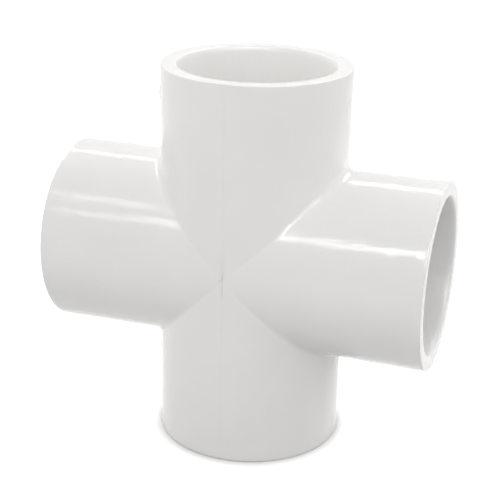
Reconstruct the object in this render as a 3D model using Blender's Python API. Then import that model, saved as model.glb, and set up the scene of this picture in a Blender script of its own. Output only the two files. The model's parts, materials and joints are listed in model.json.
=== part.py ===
"""Equal cross fitting for 1 inch Schedule 40 PVC pipe: one moulded body with four solvent-weld sockets.

The frame: the origin is where the two bore axes cross. +Z runs up one straight run and +X along the
other, so the cross stands in the XZ plane, and its front faces -Y.

How the body is made: four equal arms, each a turned profile (outer wall, mouth, socket, pipe stop and
waterway) round its own axis. Neighbouring arms meet in the 45 degree plane between them. The outer walls
meet there in a hollow seam and the waterways in a sharp one, and both are rounded as by a rolling ball.
"""

import math

import bmesh
import bpy
from mathutils import Vector

# Driving dimensions, in metres.
HALF_LENGTH = 0.0420  # from the crossing of the axes to a mouth
MOUTH_OUTER_RADIUS = 0.0204  # 40.8 mm across at the mouth
OUTER_SLOPE = 0.008  # mould draft: how much an arm's outer radius grows per metre towards its mouth
SOCKET_MOUTH_RADIUS = 0.033655 / 2  # socket entrance of a 1 inch Schedule 40 fitting
SOCKET_BOTTOM_RADIUS = 0.033274 / 2  # the socket tapers, so that the pipe jams before it bottoms
SOCKET_DEPTH = 0.0245  # from the mouth to the pipe stop
WATERWAY_RADIUS = 0.0150  # bore beyond the pipe stop

# Rounded edges.
SEAM_FILLET = 0.0015  # hollow seam between two arms, outside
MOUTH_EDGE_RADIUS = 0.00025  # outer edge of a mouth
LEAD_IN_WIDTH = 0.0006  # the lead-in rounds the inner edge of a mouth, this far across its face
LEAD_IN_DEPTH = 0.0015  # and this far down the socket
STOP_EDGE_RADIUS = 0.0004  # where the pipe stop turns into the waterway
WATERWAY_EDGE_RADIUS = 0.0008  # sharp seam between two waterways, inside

# How finely the round shapes are divided.
COLUMNS = 64  # round each arm, a multiple of four
SEAM_STEPS = 4
EDGE_STEPS = 2

# The arms in turn round the cross, each a quarter turn from the one before.
ARM_DIRECTIONS = [Vector((1, 0, 0)), Vector((0, 0, 1)), Vector((-1, 0, 0)), Vector((0, 0, -1))]
FRONT = Vector((0, -1, 0))

BODY_NAME = "cross_body"
PVC_COLOUR = (0.84, 0.84, 0.83, 1.0)
PVC_ROUGHNESS = 0.16


def clear_scene():
    for obj in list(bpy.data.objects):
        bpy.data.objects.remove(obj)


def pvc_material():
    material = bpy.data.materials.new("white_pvc")
    material.use_nodes = True
    shader = material.node_tree.nodes["Principled BSDF"]
    shader.inputs["Base Color"].default_value = PVC_COLOUR
    shader.inputs["Roughness"].default_value = PVC_ROUGHNESS
    shader.inputs["Metallic"].default_value = 0.0
    return material


def next_arm(arm):
    return (arm + 1) % len(ARM_DIRECTIONS)


def column_angle(column):
    return 2 * math.pi * column / COLUMNS


def arm_point(arm, angle, radius, along):
    """A point of an arm. The angle turns from the front towards the next arm."""
    side = ARM_DIRECTIONS[next_arm(arm)]
    outward = side * math.sin(angle) + FRONT * math.cos(angle)
    return ARM_DIRECTIONS[arm] * along + outward * radius


def rounded_corner(corner, start, end, start_length, end_length):
    """The round or elliptical arc that cuts a profile's right-angled corner, as points.

    It begins start_length from the corner towards start, and ends end_length from it towards end.
    """
    before = (start - corner).normalized() * start_length
    after = (end - corner).normalized() * end_length
    centre = corner + before + after
    return [
        centre - after * math.cos(turn) - before * math.sin(turn)
        for turn in (math.pi / 2 * step / EDGE_STEPS for step in range(EDGE_STEPS + 1))
    ]


def arm_profile(root_radius):
    """The turned profile of an arm, as (radius, along) points from the outer wall to the waterway."""
    stop = HALF_LENGTH - SOCKET_DEPTH
    outer_wall = Vector((root_radius, 0))
    outer_edge = Vector((MOUTH_OUTER_RADIUS, HALF_LENGTH))
    lead_in = Vector((SOCKET_MOUTH_RADIUS, HALF_LENGTH))
    socket_bottom = Vector((SOCKET_BOTTOM_RADIUS, stop))
    stop_edge = Vector((WATERWAY_RADIUS, stop))
    waterway = Vector((WATERWAY_RADIUS, 0))
    return [
        *rounded_corner(outer_edge, outer_wall, lead_in, MOUTH_EDGE_RADIUS, MOUTH_EDGE_RADIUS),
        *rounded_corner(lead_in, outer_edge, socket_bottom, LEAD_IN_WIDTH, LEAD_IN_DEPTH),
        socket_bottom,
        *rounded_corner(stop_edge, socket_bottom, waterway, STOP_EDGE_RADIUS, STOP_EDGE_RADIUS),
    ]


def seam_ball(angle, root_radius, slope, ball_radius):
    """The ball that rolls along the seam between two equal cones: its centre and where it touches a cone.

    Both are (radius, along) of the arm. The centre stays in the 45 degree plane between the two arms, so
    it is as far along its arm as it is to the side.
    """
    tilt = math.atan(slope)
    to_side = abs(math.sin(angle))
    centre_radius = (root_radius + ball_radius / math.cos(tilt)) / (1 - slope * to_side)
    centre_along = centre_radius * to_side
    touch_along = centre_along + ball_radius * math.sin(tilt)
    return (centre_radius, centre_along), (root_radius + slope * touch_along, touch_along)


class Seams:
    """The four rounded seams between the arms, and the two poles, front and back, where all of them end."""

    def __init__(self, mesh, root_radius, slope, ball_radius):
        self.mesh = mesh
        self.cone = (root_radius, slope, ball_radius)
        self.ball_radius = ball_radius
        self.poles = {
            0: mesh.verts.new(FRONT * root_radius),
            COLUMNS // 2: mesh.verts.new(-FRONT * root_radius),
        }
        self.arm_rings = [self.arm_ring(arm) for arm in range(len(ARM_DIRECTIONS))]

    def arm_ring(self, arm):
        """The ring of vertices where the seams on both sides end and the arm begins."""
        ring = []
        for column in range(COLUMNS):
            if column in self.poles:
                ring.append(self.poles[column])
                continue
            _, touch = seam_ball(column_angle(column), *self.cone)
            ring.append(self.mesh.verts.new(arm_point(arm, column_angle(column), *touch)))
        return ring

    def arc(self, arm, column):
        """The row of vertices across the seam from an arm to the next one."""
        if column in self.poles:
            return [self.poles[column]] * (SEAM_STEPS + 1)
        first = self.arm_rings[arm][column]
        last = self.arm_rings[next_arm(arm)][COLUMNS - column]
        ball_centre, _ = seam_ball(column_angle(column), *self.cone)
        centre = arm_point(arm, column_angle(column), *ball_centre)
        to_first = (first.co - centre).normalized()
        to_last = (last.co - centre).normalized()
        between = [
            centre + to_first.slerp(to_last, step / SEAM_STEPS) * self.ball_radius
            for step in range(1, SEAM_STEPS)
        ]
        return [first, *(self.mesh.verts.new(point) for point in between), last]

    def fill(self):
        for arm in range(len(ARM_DIRECTIONS)):
            rows = [self.arc(arm, column) for column in range(COLUMNS // 2 + 1)]
            for row, following in zip(rows, rows[1:]):
                for step in range(SEAM_STEPS):
                    add_face(self.mesh, row[step], row[step + 1], following[step + 1], following[step])


def add_face(mesh, *corners):
    """A face of the corners that differ, since a seam shrinks to a single vertex at a pole."""
    mesh.faces.new(dict.fromkeys(corners))


def join_rings(mesh, ring, following):
    for column in range(COLUMNS):
        after = (column + 1) % COLUMNS
        add_face(mesh, ring[column], ring[after], following[after], following[column])


def turned_ring(mesh, arm, station):
    return [mesh.verts.new(arm_point(arm, column_angle(column), *station)) for column in range(COLUMNS)]


def body_mesh():
    root_radius = MOUTH_OUTER_RADIUS - OUTER_SLOPE * HALF_LENGTH
    mesh = bmesh.new()
    outside = Seams(mesh, root_radius, OUTER_SLOPE, SEAM_FILLET)
    inside = Seams(mesh, WATERWAY_RADIUS, 0.0, WATERWAY_EDGE_RADIUS)
    for seams in (outside, inside):
        seams.fill()
    profile = arm_profile(root_radius)
    for arm in range(len(ARM_DIRECTIONS)):
        turned = [turned_ring(mesh, arm, station) for station in profile]
        rings = [outside.arm_rings[arm], *turned, inside.arm_rings[arm]]
        for ring, following in zip(rings, rings[1:]):
            join_rings(mesh, ring, following)
    bmesh.ops.recalc_face_normals(mesh, faces=mesh.faces)
    if mesh.calc_volume(signed=True) < 0:
        bmesh.ops.reverse_faces(mesh, faces=mesh.faces)
    return mesh


def make_body():
    data = bpy.data.meshes.new(BODY_NAME)
    mesh = body_mesh()
    mesh.to_mesh(data)
    mesh.free()
    data.shade_smooth()
    data.set_sharp_from_angle(angle=math.radians(35))
    data.materials.append(pvc_material())
    body = bpy.data.objects.new(BODY_NAME, data)
    bpy.context.scene.collection.objects.link(body)
    return body


clear_scene()
make_body()
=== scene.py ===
"""The looks of the cross fitting: a glossy white PVC moulding on a pale table, in soft studio light.

The fitting is one piece. Its skin is built again here from the same rule as the CAD model, with finer
rounded edges, the parting line of the mould, the gate mark and the slight waves of a moulded surface.
"""

import json
import math

import bmesh
import bpy
from mathutils import Matrix, Vector, noise


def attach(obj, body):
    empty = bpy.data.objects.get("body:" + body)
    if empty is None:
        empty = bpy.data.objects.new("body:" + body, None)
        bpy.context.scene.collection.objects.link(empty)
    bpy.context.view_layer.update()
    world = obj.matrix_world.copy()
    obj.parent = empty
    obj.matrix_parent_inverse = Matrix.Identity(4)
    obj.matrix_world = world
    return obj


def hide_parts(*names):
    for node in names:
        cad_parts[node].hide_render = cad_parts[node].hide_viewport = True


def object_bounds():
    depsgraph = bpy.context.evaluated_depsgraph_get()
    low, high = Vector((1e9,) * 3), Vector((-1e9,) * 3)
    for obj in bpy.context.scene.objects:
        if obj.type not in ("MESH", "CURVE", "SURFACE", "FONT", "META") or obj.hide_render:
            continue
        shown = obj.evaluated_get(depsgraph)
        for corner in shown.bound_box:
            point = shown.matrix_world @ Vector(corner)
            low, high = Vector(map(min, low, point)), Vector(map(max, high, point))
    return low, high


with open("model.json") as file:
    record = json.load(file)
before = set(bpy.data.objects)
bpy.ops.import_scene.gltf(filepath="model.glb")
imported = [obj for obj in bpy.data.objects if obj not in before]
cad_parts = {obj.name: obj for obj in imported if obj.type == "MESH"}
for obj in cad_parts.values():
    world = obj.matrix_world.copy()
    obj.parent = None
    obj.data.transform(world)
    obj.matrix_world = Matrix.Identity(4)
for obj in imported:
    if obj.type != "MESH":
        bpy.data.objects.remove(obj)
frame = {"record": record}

cad_low, cad_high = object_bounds()
mounts = {mount["name"]: Vector(mount["pos_m"]) for mount in frame["record"]["mounts"]}

# Sizes of the body, in metres. The first three come from the frame.
HALF_LENGTH = cad_high.x  # from the crossing of the axes to a mouth
TABLE_HEIGHT = cad_low.z
STOP = mounts["pipe_stop_right"].x  # from the crossing of the axes to a pipe stop
MOUTH_OUTER_RADIUS = 0.0204
OUTER_SLOPE = 0.008  # how much an arm's outer radius grows per metre towards its mouth
SOCKET_MOUTH_RADIUS = 0.033655 / 2
SOCKET_BOTTOM_RADIUS = 0.033274 / 2
WATERWAY_RADIUS = 0.0150
ROOT_RADIUS = MOUTH_OUTER_RADIUS - OUTER_SLOPE * HALF_LENGTH

# Rounded edges.
SEAM_FILLET = 0.0015
MOUTH_EDGE_RADIUS = 0.00025
LEAD_IN_WIDTH = 0.0006  # the lead-in rounds the inner edge of a mouth, this far across its face
LEAD_IN_DEPTH = 0.0015  # and this far down the socket
STOP_EDGE_RADIUS = 0.0004
WATERWAY_EDGE_RADIUS = 0.0008
SEAM_STEPS = 8
EDGE_STEPS = 5

# Spacing of the mesh: fine at the parting line and at the poles, and even away from them.
FINE_ANGLE = math.radians(0.2)
EVEN_ANGLE = math.radians(2.0)
FINE_SHARE = 0.004
EVEN_SHARE = 0.018
GROWTH = 1.4
MOUTH_RINGS = 2
SOCKET_WALL_RINGS = 4
WATERWAY_RINGS = 4

# The mould parted at x = 0, so a faint line runs down the front and the back of the upright run. The gate
# was at its front middle, where it left a short scar and a small pit beside it.
PARTING_HALF_WIDTH = 0.00016
PARTING_HEIGHT = 0.000004
SCAR_TOP = 0.0022
SCAR_BOTTOM = -0.0036
SCAR_HEIGHT = 0.000040
PIT_CENTRE = Vector((-0.00055, 0, 0.0))
PIT_RADIUS = 0.00028
PIT_DEPTH = 0.00008
# A low oval pad on the left of the upper arm.
PAD_TURN = math.radians(-71)
PAD_HEIGHT = 0.0355
PAD_HALF_WIDTH = 0.0022
PAD_HALF_LENGTH = 0.0020
PAD_RELIEF = 0.00028
PAD_CROWN = 1.6  # above 1, it flattens the pad's top
# Two sets of moulding waves in the skin: (height, length), in metres.
WAVES = [(0.000042, 0.014), (0.000028, 0.006)]
WAVE_SHIFT = Vector((7.3, 1.9, 4.1))
WAVE_MARGIN = 0.003  # the waves die out over this length towards a mouth
# The parting line and the scar are uneven: noise swings them about a mean, both given as shares of the
# heights above, in patches of these sizes.
PARTING_MEAN = 0.6
PARTING_SWING = 0.8
PARTING_PATCH_DEPTH = 0.02  # front to back
PARTING_PATCH_LENGTH = 0.001  # up
PARTING_SHIFT = 0.3  # where in the noise
SCAR_MEAN = 0.7
SCAR_SWING = 1.2
SCAR_PATCH_LENGTH = 0.0005
SCAR_SHIFT = 2.7

# Colours of the PVC and its marks. In a FADE pair a mark is full at the first value and gone at the second.
PVC_SHADED = (0.912, 0.905, 0.892, 1)
PVC_CLEAR = (0.932, 0.927, 0.916, 1)
LIP_HIGHLIGHT_WHITE = (0.99, 0.985, 0.975, 1)
# Darkens the specks, which are dirt, and the mould marks, where it is partly dirt and partly painted shade.
DIRT_AND_PAINTED_SHADE = (0.30, 0.29, 0.27, 1)
CLOUD_SIZE = 0.018
CLOUD_FADE = (0.7, 0.3)  # of noise from 0 to 1
SKIN_RADIUS = 0.0195  # from the upright axis: the marks of the mould show only outside it
PATCH_SIZE = 0.0010  # of the patches in which the parting line and the scar are darker
PATCH_FADE = (0.66, 0.40)  # of noise from 0 to 1
PARTING_FADE = (0.00004, 0.00022)  # from the middle of the line
PARTING_DARKNESS = 0.012
PARTING_PATCH_DARKNESS = 0.040
SCAR_FADE = (0.00006, 0.00024)  # from the middle of the line
SCAR_TOP_FADE = (SCAR_TOP - 0.0004, SCAR_TOP + 0.0002)
SCAR_BOTTOM_FADE = (SCAR_BOTTOM + 0.0010, SCAR_BOTTOM - 0.0004)
SCAR_DARKNESS = 0.09
SCAR_PATCH_DARKNESS = 0.16
PIT_FADE = (0.00012, 0.00036)  # from the middle of the pit
PIT_DARKNESS = 0.22
# Plastic that flowed away from the gate left a soft dark trace above it.
FLOW_FADE = (0.0002, 0.0009)  # from the middle of the line
FLOW_TOP_FADE = (0.0020, 0.0110)
FLOW_BOTTOM_FADE = (0.0010, 0.0)
FLOW_DARKNESS = 0.045
SPECK_SPACING = 0.006
SPECK_FADE = (0.015, 0.045)  # from the middle of a speck, in spacings
CLEAN_SHARE = 0.9  # of the places where a speck could be
SPECK_DARKNESS = 0.35
# The lip where a mouth's face turns into its socket. Its colour is made paler there, a painted highlight, as
# if its rounded edge caught the light.
LIP_RADIUS = 0.0173
LIP_HIGHLIGHT_FADE = (0.00008, 0.00022)  # from the middle of the lip
LIP_HIGHLIGHT_STRENGTH = 0.8
MOUTH_FADE = (HALF_LENGTH - 0.0001, HALF_LENGTH - 0.0004)  # along an arm
INSIDE_FADE = (-0.0002, 0.0001)  # outwards from the lip

# Finish of the PVC: its least roughness, and what wear, the fine marks, the faces of the mouths and the
# walls inside add to it.
LEAST_ROUGHNESS = 0.08
WEAR_ROUGHNESS = 0.05
MARK_ROUGHNESS = 0.07
MOUTH_ROUGHNESS = 0.06
INSIDE_ROUGHNESS = 0.30
WEAR_SIZE = 0.004
MARK_SIZE = 0.0009  # of the fine marks, across the arm
MARK_FADE = (0.60, 0.46)  # of noise from 0 to 1
MARK_DEPTH = 0.000042
DRAWN_OUT = 4  # how many times longer the marks are along the arm
SEAM_FADE = (0.0005, -0.0005)  # across a seam, where the marks turn from one arm's direction to the next
MOUTH_SMOOTHNESS = 0.9  # how much weaker the marks are on the face of a mouth
PEEL_SIZE = 0.0024  # of the orange peel, the faint unevenness of a moulded gloss
PEEL_DEPTH = 0.000022

# The arms in turn round the cross, each a quarter turn from the one before.
ARM_DIRECTIONS = [Vector((1, 0, 0)), Vector((0, 0, 1)), Vector((-1, 0, 0)), Vector((0, 0, -1))]
FRONT = Vector((0, -1, 0))

# The table and the surroundings.
TABLE_SIZE = 6.0
TABLE_GAP = 0.00005
TABLE_GLOW = 0.35
TABLE_WHITE = (0.95, 0.95, 0.95, 1)
PAPER_GREY = (0.50, 0.50, 0.50, 1)
TABLE_DULLING = 0.99  # of its white, in the table's faint clouds
TABLE_CLOUD_SIZE = 0.03
# A painted contact shadow: the table's glow is full beyond the first radius and gone inside the second.
PAINTED_SHADOW_FADE = (MOUTH_OUTER_RADIUS + 0.0024, MOUTH_OUTER_RADIUS - 0.0003)  # from the upright axis
BACKDROP_RADIUS = 0.49 * TABLE_SIZE

# Broad soft lights all round: (azimuth and elevation in degrees, strength). Each falls off with the cosine
# of the angle from its middle, to this power.
SOFT_LIGHTS = [
    (0, 10, 0.55), (90, 10, 1.5), (225, 10, 0.35), (270, 10, 0.45), (315, 10, 1.3),
    (0, 35, 0.65), (45, 35, 0.4), (135, 35, 1.5), (225, 35, 2.8), (135, 60, 0.4),
]
SOFT_LIGHT_POWER = 8
SOFT_LIGHT_COLOUR = (1.0, 0.995, 0.985, 1)
# A softbox near the front: azimuth and elevation in degrees, strength.
SOFTBOX = (0, 45, 1.2)
SOFTBOX_SIZE = 0.25
SOFTBOX_DISTANCE = 0.40
# Strip lights for the reflections: name, the directions of both ends, thickness in degrees, radiance.
STRIP_DISTANCE = 1.0
STRIPS = [
    ("front_strip", (-0.345, -0.722, 0.60), (-0.14, -0.715, 0.68), 5.5, 9),
    ("front_strip_right", (-0.14, -0.715, 0.68), (-0.06, -0.71, 0.70), 5, 15),
    ("front_strip_far", (-0.456, -0.728, 0.526), (-0.345, -0.722, 0.60), 2.6, 5),
    ("front_high_strip", (-0.46, -0.49, 0.75), (-0.36, -0.49, 0.79), 7, 3.6),
    ("seam_strip", (0.05, -0.86, 0.51), (0.73, -0.25, 0.65), 8, 22),
    ("back_strip_left", (-0.54, 0.535, 0.653), (-0.28, 0.657, 0.687), 2, 7),
    ("back_strip_end", (-0.60, -0.05, 0.80), (-0.50, 0.45, 0.74), 4, 10),
    ("back_strip_right", (-0.24, 0.70, 0.67), (-0.09, 0.737, 0.665), 2.6, 14),
    ("back_strip_seam", (-0.02, 0.69, 0.71), (0.16, 0.68, 0.72), 7, 30),
    ("back_low_strip", (-0.02, 0.84, 0.54), (0.40, 0.82, 0.40), 8, 5),
]

# The camera: it looks from the front, a little from the right and from above.
CAMERA_AZIMUTH = 18.3  # in degrees, from the front towards the right
CAMERA_ELEVATION = 21.2  # in degrees
CAMERA_ROLL = math.radians(1.3)
CAMERA_DISTANCE = 0.279
CAMERA_TARGET = Vector((-0.0007, 0, -0.0002))
CAMERA_LENS = 90.4
SENSOR = 36.0


def spaced(first_step, even_step, end):
    """Values from 0 to end whose steps grow from first_step to even_step."""
    values = [0.0]
    step = first_step
    while values[-1] < end:
        values.append(values[-1] + step)
        step = min(step * GROWTH, even_step)
    stretch = end / values[-1]
    return [value * stretch for value in values]


def column_angles():
    """The angles of an arm's columns, from the front all the way round, even-handed left and right."""
    quarter = spaced(FINE_ANGLE, EVEN_ANGLE, math.pi / 2)
    half = quarter + [math.pi - angle for angle in reversed(quarter[:-1])]
    return half + [2 * math.pi - angle for angle in reversed(half[1:-1])]


ANGLES = column_angles()
COLUMNS = len(ANGLES)


def next_arm(arm):
    return (arm + 1) % len(ARM_DIRECTIONS)


def arm_point(arm, angle, radius, along):
    """A point of an arm. The angle turns from the front towards the next arm."""
    side = ARM_DIRECTIONS[next_arm(arm)]
    outward = side * math.sin(angle) + FRONT * math.cos(angle)
    return ARM_DIRECTIONS[arm] * along + outward * radius


def rounded_corner(corner, start, end, start_length, end_length):
    """The round or elliptical arc that cuts a profile's right-angled corner, as points.

    It begins start_length from the corner towards start, and ends end_length from it towards end.
    """
    before = (start - corner).normalized() * start_length
    after = (end - corner).normalized() * end_length
    centre = corner + before + after
    return [
        centre - after * math.cos(turn) - before * math.sin(turn)
        for turn in (math.pi / 2 * step / EDGE_STEPS for step in range(EDGE_STEPS + 1))
    ]


def shares_between(count):
    """Even shares of the way between two ends, without the ends themselves."""
    return [step / (count + 1) for step in range(1, count + 1)]


def between(start, end, count):
    return [start.lerp(end, share) for share in shares_between(count)]


def mouth_profile():
    """The turned profile from the outer edge of a mouth to the waterway, as (radius, along) points."""
    outer_wall = Vector((ROOT_RADIUS, 0))
    outer_edge = Vector((MOUTH_OUTER_RADIUS, HALF_LENGTH))
    lead_in = Vector((SOCKET_MOUTH_RADIUS, HALF_LENGTH))
    socket_bottom = Vector((SOCKET_BOTTOM_RADIUS, STOP))
    stop_edge = Vector((WATERWAY_RADIUS, STOP))
    waterway = Vector((WATERWAY_RADIUS, 0))
    outer_round = rounded_corner(outer_edge, outer_wall, lead_in, MOUTH_EDGE_RADIUS, MOUTH_EDGE_RADIUS)
    lead_in_round = rounded_corner(lead_in, outer_edge, socket_bottom, LEAD_IN_WIDTH, LEAD_IN_DEPTH)
    stop_round = rounded_corner(stop_edge, socket_bottom, waterway, STOP_EDGE_RADIUS, STOP_EDGE_RADIUS)
    return [
        *outer_round,
        *between(outer_round[-1], lead_in_round[0], MOUTH_RINGS),
        *lead_in_round,
        *between(lead_in_round[-1], socket_bottom, SOCKET_WALL_RINGS),
        socket_bottom,
        *stop_round,
    ]


def seam_ball(angle, root_radius, slope, ball_radius):
    """The ball that rolls along the seam between two equal cones: its centre and where it touches a cone.

    Both are (radius, along) of the arm. The centre stays in the 45 degree plane between the two arms, so
    it is as far along its arm as it is to the side.
    """
    tilt = math.atan(slope)
    to_side = abs(math.sin(angle))
    centre_radius = (root_radius + ball_radius / math.cos(tilt)) / (1 - slope * to_side)
    centre_along = centre_radius * to_side
    touch_along = centre_along + ball_radius * math.sin(tilt)
    return (centre_radius, centre_along), (root_radius + slope * touch_along, touch_along)


class Seams:
    """The four rounded seams between the arms, and the two poles, front and back, where all of them end."""

    def __init__(self, mesh, root_radius, slope, ball_radius):
        self.mesh = mesh
        self.cone = (root_radius, slope, ball_radius)
        self.ball_radius = ball_radius
        self.poles = {
            0: mesh.verts.new(FRONT * root_radius),
            COLUMNS // 2: mesh.verts.new(-FRONT * root_radius),
        }
        self.arm_rings = [self.arm_ring(arm) for arm in range(len(ARM_DIRECTIONS))]

    def arm_ring(self, arm):
        """The ring of vertices where the seams on both sides end and the arm begins."""
        ring = []
        for column, angle in enumerate(ANGLES):
            if column in self.poles:
                ring.append(self.poles[column])
                continue
            _, touch = seam_ball(angle, *self.cone)
            ring.append(self.mesh.verts.new(arm_point(arm, angle, *touch)))
        return ring

    def arc(self, arm, column):
        """The row of vertices across the seam from an arm to the next one."""
        if column in self.poles:
            return [self.poles[column]] * (SEAM_STEPS + 1)
        first = self.arm_rings[arm][column]
        last = self.arm_rings[next_arm(arm)][COLUMNS - column]
        ball_centre, _ = seam_ball(ANGLES[column], *self.cone)
        centre = arm_point(arm, ANGLES[column], *ball_centre)
        to_first = (first.co - centre).normalized()
        to_last = (last.co - centre).normalized()
        inner = [
            centre + to_first.slerp(to_last, step / SEAM_STEPS) * self.ball_radius
            for step in range(1, SEAM_STEPS)
        ]
        return [first, *(self.mesh.verts.new(point) for point in inner), last]

    def fill(self):
        for arm in range(len(ARM_DIRECTIONS)):
            rows = [self.arc(arm, column) for column in range(COLUMNS // 2 + 1)]
            for row, following in zip(rows, rows[1:]):
                for step in range(SEAM_STEPS):
                    add_face(self.mesh, row[step], row[step + 1], following[step + 1], following[step])


def add_face(mesh, *corners):
    """A face of the corners that differ, since a seam shrinks to a single vertex at a pole."""
    mesh.faces.new(dict.fromkeys(corners))


def join_rings(mesh, ring, following):
    for column in range(COLUMNS):
        after = (column + 1) % COLUMNS
        add_face(mesh, ring[column], ring[after], following[after], following[column])


def turned_ring(mesh, arm, station):
    return [mesh.verts.new(arm_point(arm, angle, *station)) for angle in ANGLES]


def rings_between(mesh, first_ring, last_ring, shares):
    """Rings on the straight lines between two rings of an arm, at these shares of the way."""
    return [
        [mesh.verts.new(start.co.lerp(end.co, share)) for start, end in zip(first_ring, last_ring)]
        for share in shares
    ]


def bump(distance):
    """A smooth bump: 1 at distance 0, and 0 from distance 1 on."""
    return max(0.0, 1 - distance * distance) ** 2


def wave_relief(point):
    calm = min(1.0, (HALF_LENGTH - max(abs(point.x), abs(point.z))) / WAVE_MARGIN)
    return sum(
        calm * height * noise.noise(point / length + WAVE_SHIFT)
        for height, length in WAVES
    )


def parting_relief(point):
    """The parting line, on the upright run."""
    if abs(point.z) <= abs(point.x):
        return 0.0
    patch = Vector((PARTING_SHIFT, point.y / PARTING_PATCH_DEPTH, point.z / PARTING_PATCH_LENGTH))
    uneven = PARTING_MEAN + PARTING_SWING * noise.noise(patch)
    return PARTING_HEIGHT * uneven * bump(point.x / PARTING_HALF_WIDTH)


def gate_relief(point):
    """The scar and the pit, on the front."""
    if point.y >= 0:
        return 0.0
    scar_middle = (SCAR_TOP + SCAR_BOTTOM) / 2
    along_scar = (point.z - scar_middle) / (SCAR_TOP - scar_middle)
    uneven = SCAR_MEAN + SCAR_SWING * noise.noise(Vector((SCAR_SHIFT, 0.0, point.z / SCAR_PATCH_LENGTH)))
    scar = SCAR_HEIGHT * uneven * bump(point.x / PARTING_HALF_WIDTH) * bump(along_scar) ** 0.5
    from_pit = Vector((point.x - PIT_CENTRE.x, point.z - PIT_CENTRE.z)).length
    return scar - PIT_DEPTH * bump(from_pit / PIT_RADIUS)


def pad_relief(point):
    if point.z <= 0:
        return 0.0
    turn = math.atan2(point.x, -point.y)
    across_pad = (turn - PAD_TURN) * MOUTH_OUTER_RADIUS / PAD_HALF_WIDTH
    along_pad = (point.z - PAD_HEIGHT) / PAD_HALF_LENGTH
    return PAD_RELIEF * min(1.0, PAD_CROWN * bump(math.hypot(across_pad, along_pad)))


def skin_relief(point):
    """How far the outer skin stands proud of the plain shape at a point."""
    return wave_relief(point) + parting_relief(point) + gate_relief(point) + pad_relief(point)


def body_mesh():
    mesh = bmesh.new()
    outside = Seams(mesh, ROOT_RADIUS, OUTER_SLOPE, SEAM_FILLET)
    outside.fill()
    profile = mouth_profile()
    shares = spaced(FINE_SHARE, EVEN_SHARE, 1.0)[1:-1]
    arms = []
    for arm in range(len(ARM_DIRECTIONS)):
        first = turned_ring(mesh, arm, profile[0])
        walls = rings_between(mesh, outside.arm_rings[arm], first, shares)
        arms.append([outside.arm_rings[arm], *walls, first])
    skin = list(mesh.verts)
    inside = Seams(mesh, WATERWAY_RADIUS, 0.0, WATERWAY_EDGE_RADIUS)
    inside.fill()
    for arm, rings in enumerate(arms):
        rings += [turned_ring(mesh, arm, station) for station in profile[1:]]
        rings += rings_between(mesh, rings[-1], inside.arm_rings[arm], shares_between(WATERWAY_RINGS))
        rings.append(inside.arm_rings[arm])
        for ring, following in zip(rings, rings[1:]):
            join_rings(mesh, ring, following)
    bmesh.ops.recalc_face_normals(mesh, faces=mesh.faces)
    if mesh.calc_volume(signed=True) < 0:
        bmesh.ops.reverse_faces(mesh, faces=mesh.faces)
    mesh.normal_update()
    moves = [(vertex, vertex.normal * skin_relief(vertex.co)) for vertex in skin]
    for vertex, move in moves:
        vertex.co += move
    return mesh


class Nodes:
    """Short calls for building the node tree of a material or of the world."""

    def __init__(self, owner):
        owner.use_nodes = True
        self.tree = owner.node_tree

    def place(self, output):
        """A vector output of the texture coordinates: Object, or Generated for the world's directions."""
        return self.tree.nodes.new("ShaderNodeTexCoord").outputs[output]

    def add(self, kind, **inputs):
        node = self.tree.nodes.new(kind)
        for key, value in inputs.items():
            self.put(node.inputs[key.replace("_", " ")], value)
        return node

    def put(self, socket, value):
        if isinstance(value, bpy.types.NodeSocket):
            self.tree.links.new(value, socket)
        else:
            socket.default_value = value

    def math(self, operation, first, second=0.0, third=0.0):
        node = self.tree.nodes.new("ShaderNodeMath")
        node.operation = operation
        for socket, value in zip(node.inputs, (first, second, third)):
            self.put(socket, value)
        return node.outputs[0]

    def product(self, first, *others):
        for other in others:
            first = self.math("MULTIPLY", first, other)
        return first

    def noise(self, place, size, detail=2.0):
        """Noise from 0 to 1 whose lumps are about size metres across."""
        node = self.add("ShaderNodeTexNoise", Vector=place, Scale=1 / size, Detail=detail)
        return node.outputs["Fac"]

    def blend(self, share, first, second):
        """A colour between two, by share."""
        node = self.tree.nodes.new("ShaderNodeMix")
        node.data_type = "RGBA"
        self.put(node.inputs["Factor"], share)
        self.put(node.inputs["A"], first)
        self.put(node.inputs["B"], second)
        return node.outputs["Result"]

    def fade(self, value, full, none):
        """1 where value is at full and 0 where it is at none."""
        node = self.add("ShaderNodeMapRange", Value=value)
        node.inputs["From Min"].default_value = none
        node.inputs["From Max"].default_value = full
        node.interpolation_type = "SMOOTHSTEP"
        return node.outputs["Result"]


def distance_from_axis(nodes, first, second):
    squares = nodes.math("MULTIPLY_ADD", first, first, nodes.math("MULTIPLY", second, second))
    return nodes.math("SQRT", squares)


def drawn_out(nodes, x, y, z):
    """A place whose noise is drawn out along the arm that it is on."""
    past_seam = nodes.math("SUBTRACT", nodes.math("ABSOLUTE", x), nodes.math("ABSOLUTE", z))
    level = nodes.fade(past_seam, *SEAM_FADE)
    upright = nodes.math("SUBTRACT", 1.0, level)
    squeeze = 1 / DRAWN_OUT - 1
    drawn_x = nodes.product(x, nodes.math("MULTIPLY_ADD", level, squeeze, 1.0))
    drawn_z = nodes.product(z, nodes.math("MULTIPLY_ADD", upright, squeeze, 1.0))
    return nodes.add("ShaderNodeCombineXYZ", X=drawn_x, Y=y, Z=drawn_z).outputs[0]


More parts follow.
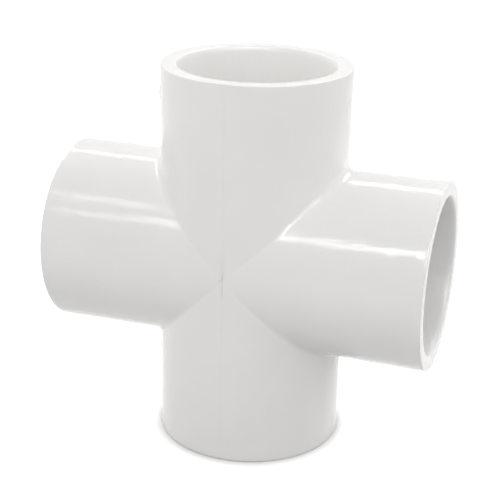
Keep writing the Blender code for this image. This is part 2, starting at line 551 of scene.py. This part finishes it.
def skin_marks(nodes, place, x, y, z):
    """How dark the marks of the mould are: the parting line, and on the front the marks of the gate. On the
    parting line, the scar and the pit this darkness is partly dirt and partly painted shade.
    """
    on_skin = nodes.math("GREATER_THAN", distance_from_axis(nodes, x, y), SKIN_RADIUS)
    on_front = nodes.product(nodes.math("LESS_THAN", y, 0.0), on_skin)
    from_line = nodes.math("ABSOLUTE", x)
    patches = nodes.fade(nodes.noise(place, PATCH_SIZE), *PATCH_FADE)
    line = nodes.product(
        nodes.math("MULTIPLY_ADD", patches, PARTING_PATCH_DARKNESS, PARTING_DARKNESS),
        nodes.fade(from_line, *PARTING_FADE), on_skin,
    )
    scar = nodes.product(
        nodes.math("MULTIPLY_ADD", patches, SCAR_PATCH_DARKNESS, SCAR_DARKNESS),
        nodes.fade(z, *SCAR_TOP_FADE), nodes.fade(z, *SCAR_BOTTOM_FADE), nodes.fade(from_line, *SCAR_FADE),
    )
    from_pit = distance_from_axis(nodes, nodes.math("SUBTRACT", x, PIT_CENTRE.x), z)
    pit = nodes.product(nodes.fade(from_pit, *PIT_FADE), PIT_DARKNESS)
    flow = nodes.product(
        nodes.fade(z, *FLOW_TOP_FADE), nodes.fade(z, *FLOW_BOTTOM_FADE), nodes.fade(from_line, *FLOW_FADE),
    )
    gate = nodes.math("MULTIPLY_ADD", flow, FLOW_DARKNESS, nodes.math("MAXIMUM", scar, pit))
    return nodes.math("MULTIPLY_ADD", on_front, gate, line)


def specks(nodes, place):
    """Small dark specks, one in each of a few of the cells that fill space."""
    cells = nodes.add("ShaderNodeTexVoronoi", Vector=place, Scale=1 / SPECK_SPACING)
    speck = nodes.fade(cells.outputs["Distance"], *SPECK_FADE)
    draw = nodes.add("ShaderNodeSeparateColor", Color=cells.outputs["Color"]).outputs[0]
    return nodes.product(speck, nodes.math("GREATER_THAN", draw, CLEAN_SHARE))


def pvc_material():
    """Glossy white PVC: faint clouding, a parting line, scar and pit darkened partly as dirt and partly as
    painted shade, a soft dark trace above the gate, a few specks, a painted highlight on the lips of the
    mouths, and fine marks drawn along the arms.
    """
    material = bpy.data.materials.new("white_pvc")
    nodes = Nodes(material)
    shader = nodes.tree.nodes["Principled BSDF"]
    place = nodes.place("Object")
    x, y, z = nodes.add("ShaderNodeSeparateXYZ", Vector=place).outputs

    # Where the face of a mouth is, its lip, and the walls of the socket and the waterway.
    reach = nodes.math("MAXIMUM", nodes.math("ABSOLUTE", x), nodes.math("ABSOLUTE", z))
    across = nodes.math("MINIMUM", nodes.math("ABSOLUTE", x), nodes.math("ABSOLUTE", z))
    from_lip = nodes.math("SUBTRACT", distance_from_axis(nodes, across, y), LIP_RADIUS)
    at_mouth = nodes.fade(reach, *MOUTH_FADE)
    lip = nodes.product(at_mouth, nodes.fade(nodes.math("ABSOLUTE", from_lip), *LIP_HIGHLIGHT_FADE))
    inside = nodes.fade(from_lip, *INSIDE_FADE)

    clouds = nodes.fade(nodes.noise(place, CLOUD_SIZE, detail=3.0), *CLOUD_FADE)
    colour = nodes.blend(clouds, PVC_SHADED, PVC_CLEAR)
    # The parting line, the scar and the pit are darkened partly as dirt and partly as painted shade.
    colour = nodes.blend(skin_marks(nodes, place, x, y, z), colour, DIRT_AND_PAINTED_SHADE)
    colour = nodes.blend(nodes.product(specks(nodes, place), SPECK_DARKNESS), colour, DIRT_AND_PAINTED_SHADE)
    # A painted highlight: the colour is made paler along the lip of each mouth.
    colour = nodes.blend(nodes.product(lip, LIP_HIGHLIGHT_STRENGTH), colour, LIP_HIGHLIGHT_WHITE)
    nodes.put(shader.inputs["Base Color"], colour)

    marks = nodes.noise(drawn_out(nodes, x, y, z), MARK_SIZE)
    wear = nodes.noise(place, WEAR_SIZE, detail=3.0)
    rough = nodes.math("MULTIPLY_ADD", wear, WEAR_ROUGHNESS, LEAST_ROUGHNESS)
    rough = nodes.math("MULTIPLY_ADD", nodes.fade(marks, *MARK_FADE), MARK_ROUGHNESS, rough)
    rough = nodes.math("MULTIPLY_ADD", at_mouth, MOUTH_ROUGHNESS, rough)
    rough = nodes.math("MULTIPLY_ADD", inside, INSIDE_ROUGHNESS, rough)
    nodes.put(shader.inputs["Roughness"], rough)
    shader.inputs["IOR"].default_value = 1.53
    shader.inputs["Subsurface Weight"].default_value = 0.12
    shader.inputs["Subsurface Radius"].default_value = (1.0, 0.9, 0.8)
    shader.inputs["Subsurface Scale"].default_value = 0.001

    peel = nodes.add("ShaderNodeBump", Height=nodes.noise(place, PEEL_SIZE), Distance=PEEL_DEPTH)
    drawn = nodes.add(
        "ShaderNodeBump", Height=marks, Distance=MARK_DEPTH, Normal=peel.outputs[0],
        Strength=nodes.math("MULTIPLY_ADD", at_mouth, -MOUTH_SMOOTHNESS, 1.0),
    )
    nodes.put(shader.inputs["Normal"], drawn.outputs["Normal"])
    return material


def make_body():
    data = bpy.data.meshes.new("cross_moulding")
    mesh = body_mesh()
    mesh.to_mesh(data)
    mesh.free()
    data.shade_smooth()
    data.materials.append(pvc_material())
    body = bpy.data.objects.new("cross_moulding", data)
    bpy.context.scene.collection.objects.link(body)
    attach(body, "root")
    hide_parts("cross_body")


def table_material(name, colour, glow):
    """White paper that glows as if lit from below, but for a painted shadow round the fitting's foot, where
    the glow fades out.
    """
    material = bpy.data.materials.new(name)
    nodes = Nodes(material)
    shader = nodes.tree.nodes["Principled BSDF"]
    place = nodes.place("Object")
    x, y, _ = nodes.add("ShaderNodeSeparateXYZ", Vector=place).outputs
    duller = tuple(TABLE_DULLING * value for value in colour)
    nodes.put(shader.inputs["Base Color"], nodes.blend(nodes.noise(place, TABLE_CLOUD_SIZE), colour, duller))
    # Painted shadow: the glow fades out round the fitting's foot.
    lit = nodes.fade(distance_from_axis(nodes, x, y), *PAINTED_SHADOW_FADE)
    shader.inputs["Roughness"].default_value = 0.8
    shader.inputs["Specular IOR Level"].default_value = 0.0
    shader.inputs["Emission Color"].default_value = (1, 1, 1, 1)
    nodes.put(shader.inputs["Emission Strength"], nodes.product(lit, glow))
    return material


def show_to(piece, eye, light):
    """Which rays see a piece: the camera's own and reflections, or those that carry soft light."""
    piece.visible_camera = eye
    piece.visible_glossy = eye
    piece.visible_transmission = eye
    piece.visible_diffuse = light
    piece.visible_shadow = light


def table_layer(name, depth, material):
    """A flat square, this far under the fitting."""
    bpy.ops.mesh.primitive_plane_add(size=TABLE_SIZE, location=(0, 0, TABLE_HEIGHT - depth))
    layer = bpy.context.object
    layer.name = name
    layer.data.materials.append(material)
    return layer


def make_table():
    """A white table top just under the fitting, and the paper below it that bounces light up."""
    table = table_layer("table", TABLE_GAP, table_material("table_white", TABLE_WHITE, TABLE_GLOW))
    show_to(table, eye=True, light=False)
    paper = table_layer("table_paper", 2 * TABLE_GAP, table_material("paper_white", PAPER_GREY, 0.0))
    show_to(paper, eye=False, light=True)


def make_backdrop():
    """A white dome round the table, for the camera and for reflections."""
    bpy.ops.mesh.primitive_uv_sphere_add(segments=64, ring_count=32, radius=BACKDROP_RADIUS)
    dome = bpy.context.object
    dome.name = "backdrop"
    material = bpy.data.materials.new("backdrop_white")
    shader = Nodes(material).tree.nodes["Principled BSDF"]
    shader.inputs["Base Color"].default_value = (0, 0, 0, 1)
    shader.inputs["Specular IOR Level"].default_value = 0.0
    shader.inputs["Emission Color"].default_value = (1, 1, 1, 1)
    shader.inputs["Emission Strength"].default_value = 1.0
    dome.data.materials.append(material)
    show_to(dome, eye=True, light=False)


def area_light(name, width, height, radiance):
    """A rectangular light of even radiance, which the camera doesn't see."""
    data = bpy.data.lights.new(name, "AREA")
    data.shape = "RECTANGLE"
    data.size = width
    data.size_y = height
    data.energy = radiance * math.pi * width * height
    light = bpy.data.objects.new(name, data)
    bpy.context.scene.collection.objects.link(light)
    light.visible_camera = False
    return light


def make_strip(name, start, end, thickness, radiance):
    """A strip light for reflections, seen from the fitting between two directions."""
    first = Vector(start).normalized() * STRIP_DISTANCE
    last = Vector(end).normalized() * STRIP_DISTANCE
    middle = (first + last) / 2
    height = math.radians(thickness) * STRIP_DISTANCE
    strip = area_light(name, (last - first).length, height, radiance)
    along = (last - first).normalized()
    back = middle.normalized()
    across = back.cross(along)
    strip.matrix_world = Matrix.Translation(middle) @ Matrix((along, across, back)).transposed().to_4x4()
    strip.visible_diffuse = False


def direction(azimuth, elevation):
    """The direction at an azimuth from the front towards the right and an elevation, both in degrees."""
    turn = math.radians(azimuth)
    lift = math.radians(elevation)
    return Vector((math.sin(turn) * math.cos(lift), -math.cos(turn) * math.cos(lift), math.sin(lift)))


def facing(back, distance, target=Vector((0, 0, 0))):
    """The place of a light or camera that looks at a target from a direction."""
    turn = back.to_track_quat("Z", "Y").to_matrix().to_4x4()
    return Matrix.Translation(target + back * distance) @ turn


def make_softbox(azimuth, elevation, radiance):
    """A square soft light near the fitting, which reaches its upper parts a little more strongly."""
    softbox = area_light("front_softbox", SOFTBOX_SIZE, SOFTBOX_SIZE, radiance)
    softbox.matrix_world = facing(direction(azimuth, elevation), SOFTBOX_DISTANCE)
    softbox.visible_glossy = False


def make_world():
    """A studio lit by broad soft lights, which reflections don't show."""
    world = bpy.data.worlds.new("studio")
    nodes = Nodes(world)
    towards = nodes.place("Generated")
    total = 0.0
    for azimuth, elevation, radiance in SOFT_LIGHTS:
        cosine = nodes.tree.nodes.new("ShaderNodeVectorMath")
        cosine.operation = "DOT_PRODUCT"
        nodes.put(cosine.inputs[0], towards)
        cosine.inputs[1].default_value = direction(azimuth, elevation)
        lobe = nodes.math("POWER", nodes.math("MAXIMUM", cosine.outputs["Value"], 0.0), SOFT_LIGHT_POWER)
        total = nodes.math("MULTIPLY_ADD", lobe, radiance, total)
    background = nodes.tree.nodes["Background"]
    background.inputs["Color"].default_value = SOFT_LIGHT_COLOUR
    nodes.put(background.inputs["Strength"], total)
    world.cycles_visibility.glossy = False
    bpy.context.scene.world = world


def make_camera():
    data = bpy.data.cameras.new("camera")
    data.sensor_width = SENSOR
    data.lens = CAMERA_LENS
    data.clip_start = CAMERA_DISTANCE / 100
    data.clip_end = CAMERA_DISTANCE * 100
    camera = bpy.data.objects.new("camera", data)
    bpy.context.scene.collection.objects.link(camera)
    back = direction(CAMERA_AZIMUTH, CAMERA_ELEVATION)
    roll = Matrix.Rotation(CAMERA_ROLL, 4, "Z")
    camera.matrix_world = facing(back, CAMERA_DISTANCE, CAMERA_TARGET) @ roll
    bpy.context.scene.camera = camera


bpy.context.scene.view_settings.view_transform = "Standard"
make_body()
make_table()
make_backdrop()
make_world()
make_softbox(*SOFTBOX)
for strip in STRIPS:
    make_strip(*strip)
make_camera()
